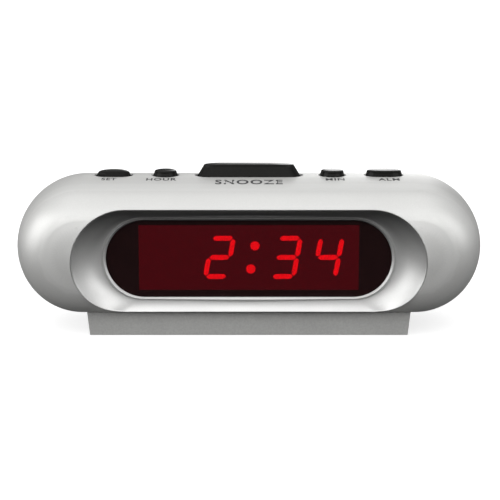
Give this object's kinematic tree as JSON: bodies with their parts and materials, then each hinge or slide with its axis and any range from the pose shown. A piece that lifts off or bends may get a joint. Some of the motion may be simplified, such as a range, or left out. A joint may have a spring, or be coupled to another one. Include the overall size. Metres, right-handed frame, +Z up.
{
  "type": "alarm clock",
  "caption": "Pill-shaped silver LED alarm clock on a low grey stand: sunk smoked window, red lit digits, snooze bar and small keys on top, slider, socket and battery bay behind.",
  "frame": {"origin": "on the floor plane, under the crest line of the body and midway between its ends", "axes": "+Z up, the display faces -Y, +X to the right seen from the front"},
  "size_m": [0.164, 0.0557, 0.0584],
  "materials": {
    "silver_paint": "satin silver paint on moulded plastic",
    "silver_trim": "satin silver paint on moulded plastic",
    "smoked_window": "polished smoked brown window",
    "grey_plastic": "fine-grained grey moulding",
    "foot_rubber": "matt black rubber",
    "black_plastic": "glossy black moulding",
    "ivory_plastic": "satin ivory nylon",
    "switch_plastic": "matt black switch body",
    "circuit_board": "brown phenolic board",
    "screw_steel": "zinc-plated steel",
    "ribbon_vinyl": "grey flat cable",
    "red_filter": "transparent red film",
    "module_plastic": "dark red-black moulding",
    "led_lit": "lit red light bar",
    "led_unlit": "unlit red light bar",
    "chip_plastic": "matt black epoxy",
    "capacitor_sleeve": "dark blue shrink sleeve",
    "resistor_body": "tan lacquer with colour bands",
    "diode_body": "black epoxy",
    "contact_brass": "thin brass",
    "lead_red": "red wire jacket",
    "lead_black": "black wire jacket",
    "switch_steel": "tin-plated steel",
    "socket_plastic": "black moulding",
    "battery_case": "dark printed steel jacket",
    "snap_vinyl": "black vinyl"
  },
  "bodies": {
    "body": {"front_shell": "silver_paint", "rear_shell": "silver_paint", "display_surround": "silver_trim", "window_lens": "smoked_window", "stand": "grey_plastic", "rubber_feet": "foot_rubber", "key_switches": "switch_plastic", "key_board": "circuit_board", "key_board_screws": "screw_steel", "key_ribbon": "ribbon_vinyl", "display_filter": "red_filter", "display_module": "module_plastic", "lit_segments": "led_lit", "unlit_segments": "led_unlit", "display_board": "circuit_board", "display_board_screws": "screw_steel", "display_ribbon": "ribbon_vinyl", "main_board": "circuit_board", "main_board_screws": "screw_steel", "clock_chip": "chip_plastic", "capacitors": "capacitor_sleeve", "resistors": "resistor_body", "diodes": "diode_body", "transistors": "chip_plastic", "buzzer": "contact_brass", "buzzer_leads": "lead_red", "slider_switch": "switch_steel", "power_socket": "socket_plastic", "socket_pins": "contact_brass", "battery": "battery_case", "battery_snap": "snap_vinyl", "battery_leads": "lead_black", "shell_screws": "screw_steel", "stand_screws": "screw_steel"},
    "snooze": {"snooze_bar": "black_plastic", "snooze_plungers": "ivory_plastic"},
    "time_key": {"time_button": "black_plastic", "time_plunger": "ivory_plastic"},
    "hour_key": {"hour_button": "black_plastic", "hour_plunger": "ivory_plastic"},
    "minute_key": {"minute_button": "black_plastic", "minute_plunger": "ivory_plastic"},
    "alarm_key": {"alarm_button": "black_plastic", "alarm_plunger": "ivory_plastic"},
    "slider": {"alarm_slider": "black_plastic", "slider_nub": "ivory_plastic"},
    "door": {"battery_door": "silver_paint"}
  },
  "joints": [
    {"name": "snooze_press", "type": "slide", "parent": "body", "child": "snooze", "axis": [0, 0, -1], "range_m": [0, 0.0005], "stiffness_N_per_m": 1200, "springref_m": -0.0015},
    {"name": "time_press", "type": "slide", "parent": "body", "child": "time_key", "axis": [0, 0, -1], "range_m": [0, 0.0005], "stiffness_N_per_m": 800, "springref_m": -0.0015},
    {"name": "hour_press", "type": "slide", "parent": "body", "child": "hour_key", "axis": [0, 0, -1], "range_m": [0, 0.0005], "stiffness_N_per_m": 800, "springref_m": -0.0015},
    {"name": "minute_press", "type": "slide", "parent": "body", "child": "minute_key", "axis": [0, 0, -1], "range_m": [0, 0.0005], "stiffness_N_per_m": 800, "springref_m": -0.0015},
    {"name": "alarm_press", "type": "slide", "parent": "body", "child": "alarm_key", "axis": [0, 0, -1], "range_m": [0, 0.0005], "stiffness_N_per_m": 800, "springref_m": -0.0015},
    {"name": "alarm_slide", "type": "slide", "parent": "body", "child": "slider", "axis": [1, 0, 0], "range_m": [0, 0.004]},
    {"name": "door_removal", "type": "slide", "parent": "body", "child": "door", "axis": [0, 1, 0], "range_m": [0, 0.02]}
  ]
}
